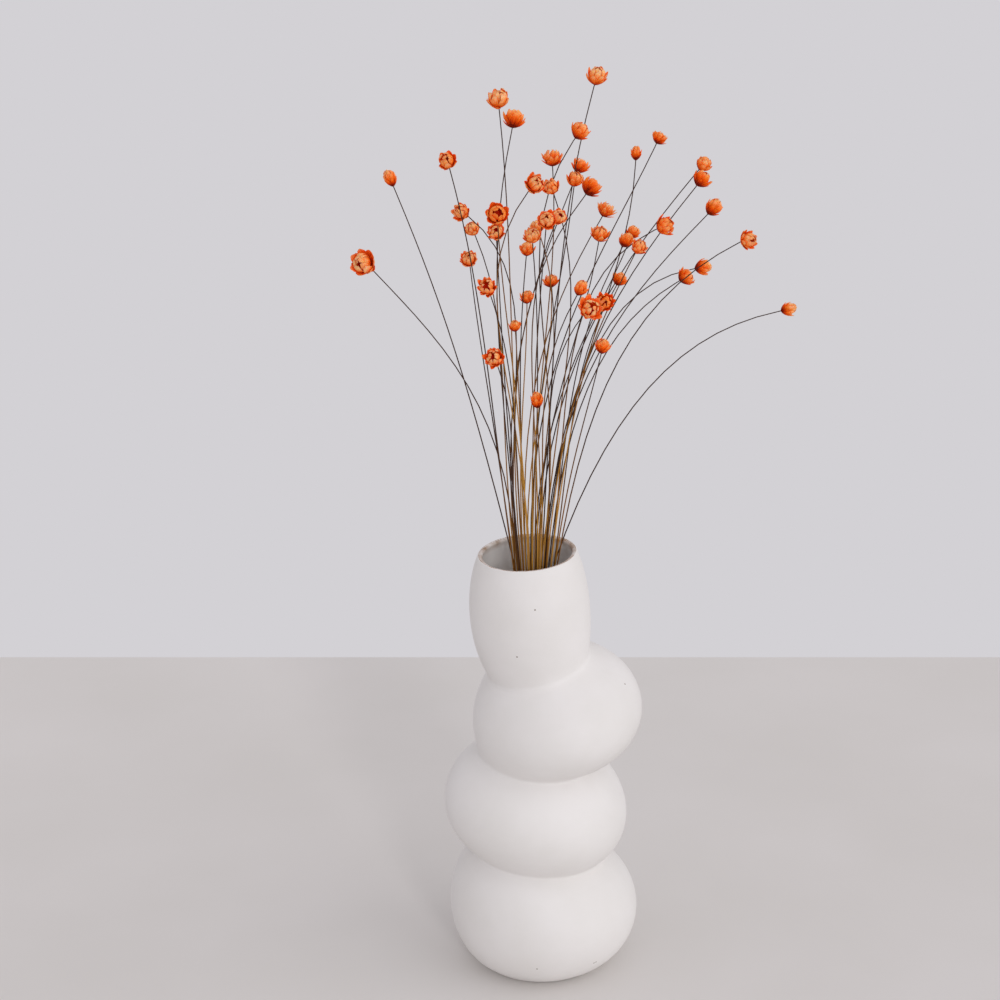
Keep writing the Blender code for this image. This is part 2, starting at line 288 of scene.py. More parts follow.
wall = new_shape(
    "bisque_vase",
    bpy.ops.mesh.primitive_circle_add,
    vertices=RING_SIDES,
    radius=RINGS[0].radius,
    location=ring_centre(RINGS[0]),
)
bpy.ops.object.mode_set(mode="OBJECT")
bpy.ops.object.transform_apply(location=True, rotation=True, scale=True)
bpy.ops.object.mode_set(mode="EDIT")
for below, ring in zip(RINGS, RINGS[1:]):
    bpy.ops.mesh.extrude_region_move()
    turn(math.radians(below.lean), "Y", ring_centre(below))
    turn(-math.radians(below.nod), "X", ring_centre(below))
    bpy.ops.transform.translate(value=ring_centre(ring) - ring_centre(below))
    grow = ring.radius / below.radius
    bpy.ops.transform.resize(value=(grow, grow, grow), center_override=ring_centre(ring))
    turn(math.radians(ring.nod), "X", ring_centre(ring))
    turn(-math.radians(ring.lean), "Y", ring_centre(ring))
bpy.ops.object.mode_set(mode="OBJECT")
print(len(wall.data.vertices), "vertices in the wall")

# %% Round the creases and close the foot
CREASE_ROUND = 2.4 * MM
NEAR = 0.05 * MM


def in_ring(ring):
    """A test for points of one ring: in its tipped plane, and one radius from its centre."""
    tip = Matrix.Rotation(-math.radians(ring.lean), 3, "Y") @ Matrix.Rotation(
        math.radians(ring.nod), 3, "X"
    )
    centre, up = ring_centre(ring), tip @ Vector((0, 0, 1))

    def test(point):
        away = point - centre
        return abs(away.dot(up)) < NEAR and abs(away.length - ring.radius) < NEAR

    return test


bpy.ops.object.mode_set(mode="EDIT")
for crease in WAISTS[1:-1]:
    pick(in_ring(crease))
    bpy.ops.mesh.bevel(offset=CREASE_ROUND, segments=5, affect="EDGES")
pick(in_ring(WAISTS[0]))
bpy.ops.mesh.edge_face_add()
bpy.ops.mesh.bevel(offset=1.5 * MM, segments=3, affect="EDGES")
bpy.ops.mesh.select_all(action="SELECT")
bpy.ops.mesh.normals_make_consistent(inside=False)
bpy.ops.object.mode_set(mode="OBJECT")
print(len(wall.data.polygons), "faces with the creases rounded")

# %% Give the wall its thickness and round the lip
WALL = 3.0 * MM
LIP_ROUND = 1.2 * MM


def apply_modifier(thing, kind, **settings):
    """Adds a modifier with its settings and applies it."""
    bpy.context.view_layer.objects.active = thing
    modifier = thing.modifiers.new(kind.lower(), kind)
    for name, value in settings.items():
        setattr(modifier, name, value)
    bpy.ops.object.modifier_apply(modifier=modifier.name)


apply_modifier(wall, "SOLIDIFY", thickness=WALL, offset=-1.0, use_even_offset=True)
lip = WAISTS[-1]
lip_up = Matrix.Rotation(-math.radians(lip.lean), 3, "Y") @ Vector((0, 0, 1))
lip_up = Matrix.Rotation(math.radians(lip.nod), 3, "X") @ lip_up
bpy.ops.object.mode_set(mode="EDIT")
pick(lambda point: (point - ring_centre(lip)).dot(lip_up) > -1.5 * MM and point.z > 0.24)
bpy.ops.mesh.bevel(offset=LIP_ROUND, segments=4, affect="EDGES")
bpy.ops.object.mode_set(mode="OBJECT")
bpy.ops.object.shade_smooth_by_angle(angle=math.radians(40))
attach(wall, "root")
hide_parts("vase")
print("vase is", round(wall.dimensions.z / MM, 1), "mm tall with", len(wall.data.polygons), "faces")

# %% [markdown]
# # Bisque
#
# The vase is white earthenware left at bisque: fired once, never glazed. That gives the eye a
# chalky, faintly warm white with no gloss at all. Close up there are three more things: fine
# level lines where the cast was sponged on a wheel, about 2 mm apart, a few pinholes from air in
# the slip, and inside the lip a tan band where water and stems have stained it. The pinholes are
# dark dots of painted shade, with no pit cut. The inner side and the lip's top are painted a
# brighter white than the outside, as painted light for the inside of the mouth.

# %% Make the bisque
STAIN_DEPTH = 5.5 * MM
PINHOLE = 0.55 * MM
PINHOLES_SEEN = ((535, 610), (517, 657), (625, 684), (537, 969), (594, 963), (596, 962))


def picture_ray(px, py):
    """The way from the eye to what the reference picture shows at that pixel."""
    right = Vector((1, 0, 0))
    ahead = Vector((0, math.cos(LOOK_DOWN), -math.sin(LOOK_DOWN)))
    up = right.cross(ahead)
    return ahead * PIXELS_FOCAL + right * (px - PICTURE_MIDDLE) + up * (PICTURE_MIDDLE - py)


def below_lip(vertex):
    """How far under the lip a point of the inner side or the lip's top is, and 1 m elsewhere."""
    away = vertex.co - ring_centre(lip)
    outward = vertex.normal.dot(Vector((away.x, away.y, 0)).normalized())
    down = -away.dot(lip_up)
    return down if outward < (0.6 if down < LIP_ROUND else 0) else 1.0


depths = [below_lip(vertex) for vertex in wall.data.vertices]
wall.data.attributes.new("below_lip", "FLOAT", "POINT").data.foreach_set("value", depths)

bisque, tree, shader = new_material("white earthenware, bisque fired")
place = put(tree, "TexCoord").outputs["Object"]
cloud = put(tree, "TexNoise", inputs={"Vector": place, "Scale": 28.0, "Detail": 4.0})
body = put(
    tree,
    "ValToRGB",
    inputs={"Fac": cloud.outputs["Fac"]},
    stops=((0.35, "#E5E2DF"), (0.65, "#EAE7E5")),
)
flat = put(
    tree, "Mapping", inputs={"Vector": place, "Scale": (12.0, 12.0, 480.0)}
)
lines = put(tree, "TexNoise", inputs={"Vector": flat.outputs["Vector"], "Scale": 1.0})
depth = put(tree, "Attribute", {"attribute_name": "below_lip"})
# Painted light: the inner side and the lip's top get a brighter white than the outside, standing in
# for light reaching into the mouth.
inner = put(
    tree,
    "MapRange",
    inputs={"Value": depth.outputs["Fac"], "From Min": 0.5, "From Max": 0.4},
)
unstained_with_painted_light = put(
    tree,
    "Mix",
    {"data_type": "RGBA"},
    {"Factor": inner.outputs["Result"], 6: body.outputs["Color"], 7: linear("#F6F4F2")},
)
blotch = put(tree, "TexNoise", inputs={"Vector": place, "Scale": 160.0, "Detail": 5.0})
soaked = put(
    tree,
    "MapRange",
    inputs={"Value": depth.outputs["Fac"], "From Min": STAIN_DEPTH, "From Max": 0.5 * MM},
)
patchy = put(
    tree,
    "MapRange",
    inputs={"Value": blotch.outputs["Fac"], "From Min": 0.20, "From Max": 0.68},
)
fade = put(
    tree,
    "Math",
    {"operation": "MULTIPLY"},
    {0: soaked.outputs["Result"], 1: patchy.outputs["Result"]},
)
skin = put(
    tree,
    "Mix",
    {"data_type": "RGBA"},
    {"Factor": fade.outputs[0], 6: unstained_with_painted_light.outputs[2], 7: linear("#A08062")},
)
# Painted shade: a dark dot at each pinhole stands in for the shade in its pit, which is not cut into
# the wall.
nearest = None
for px, py in PINHOLES_SEEN:
    hit, pinhole, *_ = wall.ray_cast(EYE, picture_ray(px, py))
    away = put(tree, "VectorMath", {"operation": "DISTANCE"}, {0: place, 1: pinhole})
    near = away.outputs["Value"]
    if nearest is not None:
        near = put(tree, "Math", {"operation": "MINIMUM"}, {0: nearest, 1: near}).outputs[0]
    nearest = near
hole = put(
    tree,
    "MapRange",
    inputs={"Value": nearest, "From Min": PINHOLE, "From Max": 0.5 * PINHOLE},
)
pinhole_painted_shade = put(
    tree,
    "Mix",
    {"data_type": "RGBA"},
    {"Factor": hole.outputs["Result"], 6: skin.outputs[2], 7: linear("#7A6A5C")},
)
tree.links.new(pinhole_painted_shade.outputs[2], shader.inputs["Base Color"])
grit = put(tree, "TexNoise", inputs={"Vector": place, "Scale": 1500.0})
relief = put(
    tree,
    "Math",
    {"operation": "ADD"},
    {0: lines.outputs["Fac"], 1: grit.outputs["Fac"]},
)
bump = put(
    tree,
    "Bump",
    inputs={"Strength": 0.15, "Distance": 0.0002, "Height": relief.outputs[0]},
)
tree.links.new(bump.outputs["Normal"], shader.inputs["Normal"])
shader.inputs["Roughness"].default_value = 0.85
shader.inputs["Specular IOR Level"].default_value = 0.3
wall.data.materials.append(bisque)
print(bisque.name, "has", len(tree.nodes), "nodes")

# %% [markdown]
# # Where each bloom stands
#
# One row a bloom: where its head is in the reference picture, how far behind or in front of the
# vase it stands, its width, how far it is open and which way it leans. The last columns are for
# this script alone, each 0 to 1: how deep its dye took, how pointed its bracts are, and how far
# the inner bracts curl in over the hole, where that is unlike the others.

# %% The table of blooms
Bloom = namedtuple(
    "Bloom", "px py depth width opening tilt facing bow dye point curl", defaults=(0.3,)
)
BLOOMS = (
    Bloom(597, 76, 25, 10.1, 0.50, 14, 16, 0, 0.25, 0.4),
    Bloom(498, 99, -5, 10.4, 0.50, -6, 28, 0, 0.20, 0.3),
    Bloom(514, 119, 40, 10.6, 0.60, 12, -30, 0, 0.35, 0.2),
    Bloom(580, 131, 5, 9.7, 0.60, 34, -5, 14, 0.45, 0.4),
    Bloom(552, 158, 36, 10.6, 0.85, -4, -4, 0, 0.50, 0.9),
    Bloom(580, 166, 45, 9.7, 0.90, 22, -15, 0, 0.50, 1.0),
    Bloom(575, 179, 10, 7.8, 0.45, 6, 12, 0, 0.45, 0.2),
    Bloom(591, 187, 40, 10.6, 0.60, 38, -25, 0, 0.75, 0.7),
    Bloom(535, 184, -30, 9.5, 0.60, 36, 46, 0, 0.50, 0.3, 0.8),
    Bloom(551, 187, -20, 8.0, 0.60, -20, 38, 0, 0.50, 0.4),
    Bloom(447, 161, -35, 8.2, 0.50, -14, 58, 0, 0.70, 0.1, 0.4),
    Bloom(390, 178, 10, 6.3, 0.05, -22, -5, -12, 0.40, 0.6),
    Bloom(461, 212, 5, 8.8, 0.60, -50, 48, 0, 0.45, 0.2, 0.6),
    Bloom(472, 229, 25, 7.9, 0.50, -22, 26, 0, 0.25, 0.5),
    Bloom(497, 214, -50, 9.9, 0.75, -3, 70, 0, 1.00, 0.0, 0.0),
    Bloom(496, 232, -20, 8.3, 0.60, -3, 50, 0, 0.50, 0.4, 0.3),
    Bloom(559, 217, -40, 7.6, 0.50, 22, 56, 0, 0.40, 0.1, 0.1),
    Bloom(547, 220, -45, 8.6, 0.65, 4, 58, 0, 0.50, 0.1, 0.5),
    Bloom(537, 227, 17, 7.8, 0.70, -20, 0, 0, 0.30, 0.5),
    Bloom(532, 236, -35, 8.3, 0.55, -5, 30, 0, 0.40, 0.4, 0.2),
    Bloom(527, 249, 15, 7.4, 0.45, 5, 8, 0, 0.55, 0.2),
    Bloom(606, 210, 55, 9.7, 0.95, 30, -10, 0, 0.00, 1.0),
    Bloom(600, 234, 10, 9.5, 0.70, 8, 10, 0, 0.40, 0.7),
    Bloom(636, 153, 38, 5.0, 0.00, 2, -8, 0, 0.90, 0.3),
    Bloom(659, 138, 50, 7.9, 0.80, 25, -12, 0, 0.60, 0.6),
    Bloom(704, 164, 45, 8.1, 0.45, 38, 12, 0, 0.45, 0.1),
    Bloom(702, 179, 15, 8.9, 0.50, 38, -6, 0, 0.85, 0.3),
    Bloom(714, 207, 60, 8.2, 0.20, 44, -18, 0, 0.50, 0.2),
    Bloom(665, 226, -20, 9.3, 0.50, 62, 28, 0, 0.95, 0.2, 0.6),
    Bloom(633, 232, 50, 7.4, 0.55, 22, -12, 0, 0.55, 0.4),
    Bloom(626, 240, 20, 7.2, 0.35, 28, -15, 0, 0.70, 0.1),
    Bloom(639, 247, -24, 7.6, 0.50, 25, 24, 0, 0.55, 0.3),
    Bloom(748, 240, -30, 8.9, 0.60, 60, 48, 0, 0.50, 0.2, 0.3),
    Bloom(703, 267, 40, 8.0, 0.30, 80, -8, 0, 0.55, 0.3),
    Bloom(686, 277, 16, 9.3, 0.70, 58, 2, 0, 0.70, 0.8),
    Bloom(789, 309, 15, 6.6, 0.15, 78, -6, 18, 0.10, 0.2),
    Bloom(363, 263, -35, 12.2, 0.60, -40, 60, 8, 0.30, 0.1, 0.9),
    Bloom(469, 259, 45, 8.8, 0.55, -6, 40, 0, 0.50, 0.3, 0.6),
    Bloom(487, 287, -45, 9.1, 0.65, -18, 56, 0, 0.50, 0.7, 0.2),
    Bloom(527, 297, 20, 7.3, 0.50, 0, -4, 0, 0.60, 0.3),
    Bloom(551, 281, 22, 8.1, 0.70, -6, -8, 0, 0.50, 0.8),
    Bloom(581, 288, -40, 6.4, 0.20, 28, -4, 0, 0.55, 0.3),
    Bloom(590, 309, -55, 10.9, 0.80, 35, 58, 0, 0.30, 0.5, 0.7),
    Bloom(605, 302, -38, 8.7, 0.60, 14, 60, 0, 1.00, 0.8, 0.6),
    Bloom(620, 279, 30, 7.7, 0.50, 30, -18, 0, 0.55, 0.4),
    Bloom(515, 326, -20, 5.9, 0.45, -4, 4, 0, 0.70, 0.3),
    Bloom(494, 358, -60, 9.5, 0.60, -18, 64, 0, 0.45, 0.6, 0.7),
    Bloom(603, 346, -40, 7.3, 0.35, 12, 2, 0, 0.80, 0.4),
    Bloom(537, 400, -25, 5.9, 0.05, -2, -4, 0, 0.80, 0.3),
)


def seen_at(px, py, depth):
    """The place at that depth which the reference picture shows at that pixel."""
    ray = picture_ray(px, py)
    return EYE + ray * ((depth - EYE.y) / ray.y)


def head_axis(bloom):
    """The way that a head points, from its stem to its tips."""
    tilt, facing = math.radians(bloom.tilt), math.radians(bloom.facing)
    level = math.cos(facing)
    return Vector((math.sin(tilt) * level, -math.sin(facing), math.cos(tilt) * level))


def head_height(bloom):
    """A bud is longer than it is wide, and an open head is flatter."""
    return bloom.width * MM * mix(0.72, 1.45, (1 - bloom.opening) ** 2)


def head_base(bloom):
    return seen_at(bloom.px, bloom.py, bloom.depth * MM) - head_axis(bloom) * head_height(bloom) / 2


print(len(BLOOMS), "blooms, the widest", max(b.width for b in BLOOMS), "mm")

# %% [markdown]
# # One bract
#
# What looks like a petal is a bract, a dry papery leaf round the real, tiny flowers. Each is
# made from a flat sheet of a few dozen faces: its rows are narrowed, tilted and carried to their
# places on the head's outline, its tip is drawn to a point, and a modifier gives it the
# thickness of paper. One is modelled for each layer of each head, because heads open by
# different amounts, and then copied round the head.

# %% The layers of a head, shut and open
BRACT_COLUMNS = 4
BRACT_ROWS = 5
PAPER = 0.16 * MM
CUPPED = 0.16

# A layer has so many bracts when they are round and so many when they are pointed. Each of its
# rows is a radius and a height, shut and then open, as shares of the head's own. Dye is how much
# more or less colour the layer took than the head as a whole.
Layer = namedtuple("Layer", "name round_count pointed_count overlap point dye curled rows")
LAYERS = (
    Layer(
        "scales",
        7,
        9,
        1.05,
        0.6,
        0.90,
        0.0,
        (
            (0.12, 0.12, -0.02, -0.02),
            (0.36, 0.32, 0.07, 0.10),
            (0.60, 0.52, 0.18, 0.23),
            (0.78, 0.71, 0.29, 0.36),
            (0.92, 0.90, 0.39, 0.48),
            (1.04, 1.08, 0.48, 0.58),
        ),
    ),
    Layer(
        "outer",
        7,
        10,
        1.15,
        0.4,
        0.25,
        0.0,
        (
            (0.10, 0.10, 0.02, 0.02),
            (0.38, 0.32, 0.12, 0.16),
            (0.66, 0.58, 0.29, 0.36),
            (0.86, 0.81, 0.47, 0.56),
            (0.95, 0.99, 0.63, 0.75),
            (1.00, 1.12, 0.78, 0.90),
        ),
    ),
    Layer(
        "middle",
        6,
        9,
        1.35,
        0.0,
        -0.05,
        0.4,
        (
            (0.08, 0.08, 0.04, 0.04),
            (0.38, 0.30, 0.14, 0.18),
            (0.67, 0.53, 0.35, 0.42),
            (0.75, 0.70, 0.60, 0.66),
            (0.58, 0.80, 0.85, 0.88),
            (0.26, 0.86, 0.98, 1.04),
        ),
    ),
    Layer(
        "inner",
        5,
        8,
        1.3,
        0.0,
        0.0,
        1.0,
        (
            (0.06, 0.06, 0.08, 0.08),
            (0.32, 0.28, 0.20, 0.22),
            (0.56, 0.44, 0.42, 0.44),
            (0.60, 0.54, 0.66, 0.68),
            (0.42, 0.52, 0.90, 0.90),
            (0.10, 0.38, 1.00, 1.04),
        ),
    ),
)
ROUND_WIDTHS = (0.35, 0.80, 1.00, 1.04, 0.90, 0.36)
POINTED_WIDTHS = (0.35, 0.80, 1.00, 0.86, 0.52, 0.05)


def bract_count(layer, bloom):
    return round(mix(layer.round_count, layer.pointed_count, bloom.point))


def shape_bract(layer, bloom):
    """One bract of that layer, on the +Y side of a head whose axis is +Z. A head keeps its round
    shape until it is well open, so the opening is squared."""
    r, h = bloom.width * MM / 2, head_height(bloom)
    r *= 1 - 0.2 * bloom.curl * (layer.curled > 0)
    o = bloom.opening**2 * (1 - bloom.curl * layer.curled)
    point = max(bloom.point, layer.point)
    line = [
        Vector((0, r * mix(row[0], row[1], o), h * mix(row[2], row[3], o))) for row in layer.rows
    ]
    widest = 2 * max(spot.y for spot in line[:4])
    widest *= math.sin(math.pi / bract_count(layer, bloom)) * layer.overlap
    bract = new_shape(
        layer.name,
        bpy.ops.mesh.primitive_grid_add,
        x_subdivisions=BRACT_COLUMNS,
        y_subdivisions=BRACT_ROWS,
        size=1,
        location=(0, 0, 0),
    )
    for across in (0.0, 0.25):
        pick(lambda place: abs(abs(place.x) - across) < 0.01)
        bpy.ops.transform.translate(value=(0, 0, -CUPPED * (1 - (2 * across) ** 2)))
    bpy.ops.mesh.select_all(action="SELECT")
    bpy.ops.transform.translate(value=(0, 0.5, 1.0))
    for number, target in enumerate(line):
        along = number / BRACT_ROWS
        start = Vector((0, along, 1.0))
        low, high = line[max(number - 1, 0)], line[min(number + 1, BRACT_ROWS)]
        slope = math.atan2(high.z - low.z, high.y - low.y)
        width = widest * mix(ROUND_WIDTHS[number], POINTED_WIDTHS[number], point)
        pick(lambda place: place.z > 0.5 and abs(place.y - along) < 0.01)
        bpy.ops.transform.resize(value=(width, 1, width), center_override=start)
        turn(slope, "X", start)
        bpy.ops.transform.translate(value=target - start)
    bpy.ops.object.mode_set(mode="OBJECT")
    apply_modifier(bract, "SOLIDIFY", thickness=PAPER, offset=0.0, material_offset=1)
    return bract


trial = shape_bract(LAYERS[1], BLOOMS[0])
print("a bract has", len(trial.data.polygons), "faces")
bpy.data.objects.remove(trial)

# %% [markdown]
# # The heart of a head
#
# Inside the bracts sits a cup that carries the tiny flowers. In the picture it is only a dark
# red hole, but it is what joins the bracts to the stem. It starts as a short cylinder: its top
# is extruded wider, then pulled in and pushed down in the middle.

# %% Shape the heart
HEART_SIDES = 10
SEAT_RADIUS = 0.75 * MM


def shape_heart(bloom):
    """The closed cup inside a head, on +Z from the seat."""
    r, h = bloom.width * MM / 2, head_height(bloom)
    steps = ((0.48, 0.16), (0.56, 0.36), (0.34, 0.46), (0.16, 0.40))
    heart = new_shape(
        "heart",
        bpy.ops.mesh.primitive_cylinder_add,
        vertices=HEART_SIDES,
        radius=SEAT_RADIUS,
        depth=h * 0.04,
        location=(0, 0, h * 0.02),
    )
    done(heart)
    bpy.ops.object.mode_set(mode="EDIT")
    radius, height = SEAT_RADIUS, h * 0.04
    pick(lambda point: point.z > h * 0.03)
    for wide, tall in steps:
        bpy.ops.mesh.extrude_region_move()
        grow = r * wide / radius
        bpy.ops.transform.resize(value=(grow, grow, 1), center_override=(0, 0, height))
        bpy.ops.transform.translate(value=(0, 0, h * tall - height))
        radius, height = r * wide, h * tall
    bpy.ops.object.mode_set(mode="OBJECT")
    return heart


trial = shape_heart(BLOOMS[0])
print("a heart has", len(trial.data.polygons), "faces")
bpy.data.objects.remove(trial)

# %% [markdown]
# # The dyed bracts
#
# The heads were dried and then dipped in orange dye. Each bract is a deep red-orange at its foot,
# partly where the dye pools and partly painted shade for the hollow of the head where the bracts
# meet. The middle of the outer side stays a pale peach, because it dries first, and the thin edge
# and tip scorch to a light brown. Fine ribs run along each bract, about ten across its width. The
# inner side holds more dye and is a plain strong orange. Such thin paper also passes light from
# sheet to sheet, so the gaps between bracts are never black. The sheets here are closed shells
# that stop most of it, and a faint painted glow of their own colour gives it back.

# %% Make the dyed paper, outside and inside
# The first stop of each ramp is the dark foot of a bract: partly its dye, partly painted shade of
# the hollow where the bracts meet.
OUTSIDE_PALE = ((0.12, "#9C1800"), (0.36, "#F04E02"), (0.62, "#FF862C"), (0.92, "#FFC690"))
OUTSIDE_DEEP = ((0.12, "#701000"), (0.38, "#D03800"), (0.66, "#FF660C"), (0.95, "#FF964A"))
INSIDE_PALE = ((0.10, "#B41A00"), (0.40, "#F45410"), (0.72, "#FF9040"), (0.95, "#FFBC84"))
INSIDE_DEEP = ((0.10, "#A01200"), (0.40, "#EC4A04"), (0.75, "#FF8428"), (0.95, "#FFA45C"))
EDGE_COLOUR = "#B8541E"
PAPER_GLOW = 0.05


def dyed_paper(name, pale_stops, deep_stops, dye_and_shade_spread):
    """Paper whose colour goes from a dark foot, partly dye and partly painted shade, to the tip of a
    bract, with ribs and a scorched edge. The last argument is how far the dark foot spreads on
    the most deeply dyed bracts."""
    material, tree, shader = new_material(name)
    uv = put(tree, "UVMap", {"uv_map": "UVMap"})
    parts = put(tree, "SeparateXYZ", inputs={"Vector": uv.outputs["UV"]})
    dye = put(tree, "Attribute", {"attribute_name": "dye"})
    tone = put(tree, "Attribute", {"attribute_name": "tone"})
    ribs_at = put(
        tree,
        "CombineXYZ",
        inputs={"X": parts.outputs["X"], "Y": parts.outputs["Y"], "Z": tone.outputs["Fac"]},
    )
    stretched = put(
        tree, "Mapping", inputs={"Vector": ribs_at.outputs["Vector"], "Scale": (11.0, 1.2, 40.0)}
    )
    ribs = put(
        tree,
        "TexNoise",
        inputs={"Vector": stretched.outputs["Vector"], "Scale": 1.0, "Detail": 2.0},
    )
    wander = put(
        tree,
        "Math",
        {"operation": "MULTIPLY_ADD"},
        {0: ribs.outputs["Fac"], 1: 0.5, 2: -0.25},
    )
    uneven = put(
        tree, "Math", {"operation": "ADD"}, {0: parts.outputs["Y"], 1: wander.outputs[0]}
    )
    # Deeper dye spreads the dark foot, dye and painted shade together, further along the bract.
    excess = put(
        tree,
        "MapRange",
        inputs={"Value": dye.outputs["Fac"], "From Min": 1.0, "From Max": 2.0, "To Max": dye_and_shade_spread},
    )
    along = put(
        tree,
        "Math",
        {"operation": "SUBTRACT"},
        {0: uneven.outputs[0], 1: excess.outputs["Result"]},
    )
    pale = put(tree, "ValToRGB", inputs={"Fac": along.outputs[0]}, stops=pale_stops)
    deep = put(tree, "ValToRGB", inputs={"Fac": along.outputs[0]}, stops=deep_stops)
    coat = put(
        tree,
        "Mix",
        {"data_type": "RGBA"},
        {"Factor": dye.outputs["Fac"], 6: pale.outputs["Color"], 7: deep.outputs["Color"]},
    )
    off_middle = put(tree, "Math", {"operation": "SUBTRACT"}, {0: parts.outputs["X"], 1: 0.5})
    to_side = put(tree, "Math", {"operation": "ABSOLUTE"}, {0: off_middle.outputs[0]})
    side_edge = put(
        tree,
        "MapRange",
        inputs={"Value": to_side.outputs[0], "From Min": 0.40, "From Max": 0.50},
    )
    tip_edge = put(
        tree,
        "MapRange",
        inputs={"Value": parts.outputs["Y"], "From Min": 0.88, "From Max": 1.0},
    )
    edge = put(
        tree,
        "Math",
        {"operation": "MAXIMUM"},
        {0: side_edge.outputs["Result"], 1: tip_edge.outputs["Result"]},
    )
    scorch = put(
        tree, "Math", {"operation": "MULTIPLY"}, {0: edge.outputs[0], 1: 0.4}
    )
    paper = put(
        tree,
        "Mix",
        {"data_type": "RGBA"},
        {"Factor": scorch.outputs[0], 6: coat.outputs[2], 7: linear(EDGE_COLOUR)},
    )
    tree.links.new(paper.outputs[2], shader.inputs["Base Color"])
    # Painted light: a faint glow in the paper's own colour, though the paper is no lamp, stands in
    # for light passed between the sheets.
    tree.links.new(paper.outputs[2], shader.inputs["Emission Color"])
    shader.inputs["Emission Strength"].default_value = PAPER_GLOW
    bump = put(
        tree,
        "Bump",
        inputs={"Strength": 0.5, "Distance": 0.0001, "Height": ribs.outputs["Fac"]},
    )
    tree.links.new(bump.outputs["Normal"], shader.inputs["Normal"])
    shader.inputs["Roughness"].default_value = 0.7
    shader.inputs["Specular IOR Level"].default_value = 0.05
    shader.inputs["Subsurface Weight"].default_value = 0.4
    shader.inputs["Subsurface Radius"].default_value = (1.0, 0.35, 0.08)
    shader.inputs["Subsurface Scale"].default_value = 0.6 * MM
    return material


dyed = dyed_paper("papery bracts, dyed orange", OUTSIDE_PALE, OUTSIDE_DEEP, 0.34)
dyed_inside = dyed_paper("papery bracts, inner side", INSIDE_PALE, INSIDE_DEEP, 0.0)
print(dyed.name, "has", len(dyed.node_tree.nodes), "nodes")

# %% Make the heart's dark dye
heart_dye, tree, shader = new_material("florets, dyed dark red")
place = put(tree, "TexCoord").outputs["Object"]
florets = put(tree, "TexVoronoi", inputs={"Vector": place, "Scale": 2000.0})
tone = put(
    tree,
    "ValToRGB",
    inputs={"Fac": florets.outputs["Distance"]},
    stops=((0.0, "#E03A08"), (0.8, "#B41C02")),
)
tree.links.new(tone.outputs["Color"], shader.inputs["Base Color"])
shader.inputs["Roughness"].default_value = 0.8
shader.inputs["Specular IOR Level"].default_value = 0.1
print(heart_dye.name, "has", len(tree.nodes), "nodes")

# %% [markdown]
# # The heads
#
# A head is its heart and four layers of bracts, each layer turned by half a bract from the one
# outside it. No two bracts of a real head lie alike, so each copy is turned, tipped and
# stretched a little by a seeded random number. The whole head is then set on its stem's end.

# %% Copy the bracts round each heart
import random

GOLDEN_ANGLE = math.radians(137.5)


def set_values(thing, **values):
    """Gives a mesh one number of each name at all of its vertices, for its material to read."""
    for name, value in values.items():
        store = thing.data.attributes.new(name, "FLOAT", "POINT")
        store.data.foreach_set("value", [value] * len(thing.data.vertices))


def bract_copy(bract, turn_by, tip_by, stretch):
    """A copy with its own mesh, tipped about its foot and turned to its place."""
    other = bract.copy()
    other.data = bract.data.copy()
    bpy.context.collection.objects.link(other)
    other.data.transform(
        Matrix.Rotation(turn_by, 4, "Z")
        @ Matrix.Rotation(tip_by, 4, "X")
        @ Matrix.Diagonal((1, 1, stretch, 1))
    )
    return other


def build_head(number, bloom):
    chance = random.Random(number)
    loose = mix(6, 16, bloom.opening**2 + 0.4 * bloom.curl)
    heart = shape_heart(bloom)
    heart.data.materials.append(heart_dye)
    set_values(heart, dye=bloom.dye, tone=0.5)
    pieces = [heart]
    for depth, layer in enumerate(LAYERS):
        bract = shape_bract(layer, bloom)
        bract.data.materials.append(dyed)
        bract.data.materials.append(dyed_inside)
        count = bract_count(layer, bloom)
        for k in range(count):
            step = (k + depth / 2 + chance.uniform(-0.16, 0.16)) * math.tau / count
            tip_by = math.radians(chance.uniform(-loose, 0.5 * loose))
            piece = bract_copy(bract, step, tip_by, chance.uniform(0.90, 1.06))
            shade = bloom.dye + layer.dye + chance.uniform(-0.25, 0.25)
            set_values(piece, dye=shade, tone=chance.random())
            pieces.append(piece)
        bpy.data.objects.remove(bract)
    bpy.ops.object.select_all(action="DESELECT")
    for piece in pieces:
        piece.select_set(True)
    bpy.context.view_layer.objects.active = heart
    bpy.ops.object.join()
    heart.name = f"head_{number:02d}"
    heart.data.name = heart.name
    to_axis = head_axis(bloom).to_track_quat("Z", "Y").to_matrix().to_4x4()
    own_turn = Matrix.Rotation(GOLDEN_ANGLE * number, 4, "Z")
    heart.data.transform(Matrix.Translation(head_base(bloom)) @ to_axis @ own_turn)
    bpy.ops.object.shade_smooth_by_angle(angle=math.radians(50))
    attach(heart, "root")
    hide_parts(f"bloom_{number:02d}")
    return heart


heads = [build_head(number, bloom) for number, bloom in enumerate(BLOOMS, start=1)]
print(len(heads), "heads of", len(heads[0].data.polygons), "faces each")

# %% [markdown]
# # The stems
#
# Each stem is a wire-thin stalk that thickens from about 0.55 mm under its head to 0.7 mm at
# the vase. All stems lean out of the mouth as if from one point below it, so they fan without
# crossing inside. A Bezier curve is how such a stalk bends, so each one is drawn as a curve with
# a round section and then made a mesh. The stems of one bunch grow from one small crown.

